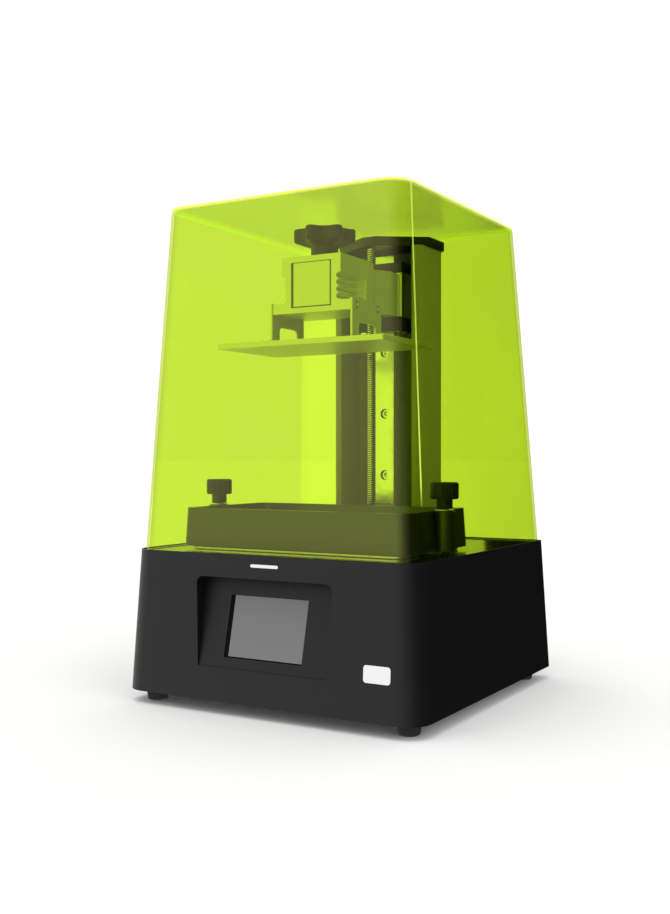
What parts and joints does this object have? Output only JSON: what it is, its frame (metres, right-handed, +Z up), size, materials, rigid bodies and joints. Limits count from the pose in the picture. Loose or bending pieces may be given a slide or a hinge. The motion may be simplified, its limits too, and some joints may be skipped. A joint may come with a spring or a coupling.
{
  "type": "resin printer",
  "caption": "Desktop resin printer: square tapered black base with a leaning touch screen, a resin vat, a build platform on a vertical screw-driven axis, and a lift-off transparent lime cover.",
  "frame": {"origin": "centre of the footprint, on the surface the rubber feet stand on", "axes": "+Z up, the front with the touch screen faces -Y, +X is to the right seen from the front"},
  "size_m": [0.29, 0.29, 0.4319],
  "materials": {
    "dark_painted_steel": "fine satin powder coat",
    "black_plastic": "satin moulded",
    "lime_cover_plastic": "polished, transparent lime",
    "grey_screen_glass": "smooth grey",
    "sandblasted_aluminium": "fine sandblasted",
    "dark_anodised_aluminium": "dark anodised",
    "bright_steel": "ground",
    "brass": "turned",
    "black_rubber": "matt",
    "circuit_board": "solder mask",
    "clear_film": "clear, stretched tight",
    "white_board": "white solder mask"
  },
  "bodies": {
    "base": {"base_shell": "dark_painted_steel", "bottom_plate": "dark_painted_steel", "foot_front_left": "black_rubber", "foot_front_right": "black_rubber", "foot_rear_left": "black_rubber", "foot_rear_right": "black_rubber", "base_deck": "dark_anodised_aluminium", "touch_screen": "grey_screen_glass", "screen_module": "circuit_board", "mainboard": "circuit_board", "power_inlet": "black_plastic", "power_switch": "black_plastic", "usb_port": "bright_steel", "fan_frame": "black_plastic", "led_heat_sink": "sandblasted_aluminium", "uv_led_board": "white_board", "lamp_reflector": "sandblasted_aluminium", "lcd_bracket": "bright_steel", "lcd_panel": "grey_screen_glass", "motor_bracket": "bright_steel", "z_motor": "black_plastic", "column": "dark_anodised_aluminium", "column_cap": "black_plastic", "linear_rail": "bright_steel", "rail_screw_1": "bright_steel", "rail_screw_2": "bright_steel", "rail_screw_3": "bright_steel", "rail_screw_4": "bright_steel", "endstop_sensor": "black_plastic"},
    "rocker": {"power_rocker": "black_plastic"},
    "fan": {"fan_rotor": "black_plastic"},
    "screw": {"lead_screw": "bright_steel", "shaft_coupler": "sandblasted_aluminium", "motor_shaft": "bright_steel"},
    "carriage": {"rail_carriage": "bright_steel", "carriage_cap_lower": "black_plastic", "carriage_cap_upper": "black_plastic", "lead_nut": "brass", "z_arm": "sandblasted_aluminium", "endstop_flag": "bright_steel"},
    "platform": {"platform_clamp": "sandblasted_aluminium", "bracket_left": "sandblasted_aluminium", "bracket_right": "sandblasted_aluminium", "levelling_screw_front_left": "bright_steel", "levelling_screw_front_right": "bright_steel", "levelling_screw_rear_left": "bright_steel", "levelling_screw_rear_right": "bright_steel", "build_platform": "sandblasted_aluminium"},
    "clamp_pad": {"clamp_pad": "brass"},
    "clamp_knob": {"clamp_knob": "black_plastic"},
    "vat": {"vat_body": "dark_anodised_aluminium", "film_frame": "bright_steel", "release_film": "clear_film"},
    "washer_left": {"thumb_washer_left": "bright_steel"},
    "washer_right": {"thumb_washer_right": "bright_steel"},
    "thumb_left": {"thumb_screw_left": "black_plastic"},
    "thumb_right": {"thumb_screw_right": "black_plastic"},
    "cover": {"cover": "lime_cover_plastic"}
  },
  "joints": [
    {"name": "cover_lift", "type": "slide", "parent": "base", "child": "cover", "axis": [0, 0, 1], "range_m": [0, 0.3]},
    {"name": "z_slide", "type": "slide", "parent": "base", "child": "carriage", "axis": [0, 0, 1], "range_m": [-0.1742, 0]},
    {"name": "lead_screw_spin", "type": "hinge", "parent": "base", "child": "screw", "pos_m": [0, 0.045, 0.1354], "axis": [0, 0, 1], "range_deg": [0, 15700]},
    {"name": "platform_release", "type": "slide", "parent": "carriage", "child": "platform", "axis": [0, -1, 0], "range_m": [0, 0.028]},
    {"name": "clamp_pad_slide", "type": "slide", "parent": "platform", "child": "clamp_pad", "axis": [0, 0, 1], "range_m": [0, 0.002]},
    {"name": "clamp_knob_turn", "type": "hinge", "parent": "clamp_pad", "child": "clamp_knob", "pos_m": [0, -0.0415, 0.3892], "axis": [0, 0, 1], "range_deg": [0, 576]},
    {"name": "vat_lift", "type": "slide", "parent": "base", "child": "vat", "axis": [0, 0, 1], "range_m": [0, 0.01]},
    {"name": "washer_left_slide", "type": "slide", "parent": "vat", "child": "washer_left", "axis": [0, 0, 1], "range_m": [0, 0.005]},
    {"name": "thumb_left_turn", "type": "hinge", "parent": "washer_left", "child": "thumb_left", "pos_m": [-0.1168, -0.041, 0.169], "axis": [0, 0, 1], "range_deg": [0, 2571]},
    {"name": "washer_right_slide", "type": "slide", "parent": "vat", "child": "washer_right", "axis": [0, 0, 1], "range_m": [0, 0.005]},
    {"name": "thumb_right_turn", "type": "hinge", "parent": "washer_right", "child": "thumb_right", "pos_m": [0.1168, -0.041, 0.169], "axis": [0, 0, 1], "range_deg": [0, 2571]},
    {"name": "power_rocker_tilt", "type": "hinge", "parent": "base", "child": "rocker", "pos_m": [0.095, 0.13946, 0.0739], "axis": [1, 0, 0], "range_deg": [0, 16]},
    {"name": "fan_spin", "type": "hinge", "parent": "base", "child": "fan", "pos_m": [-0.07, 0.129, 0.0719], "axis": [0, 1, 0], "continuous": true}
  ],
  "couplings": [
    {"joint": "lead_screw_spin", "follows": "z_slide", "rad_per_m": -1570.8},
    {"joint": "clamp_pad_slide", "follows": "clamp_knob_turn", "m_per_rad": 0.00019894},
    {"joint": "washer_left_slide", "follows": "thumb_left_turn", "m_per_rad": 0.00011141},
    {"joint": "washer_right_slide", "follows": "thumb_right_turn", "m_per_rad": 0.00011141}
  ]
}
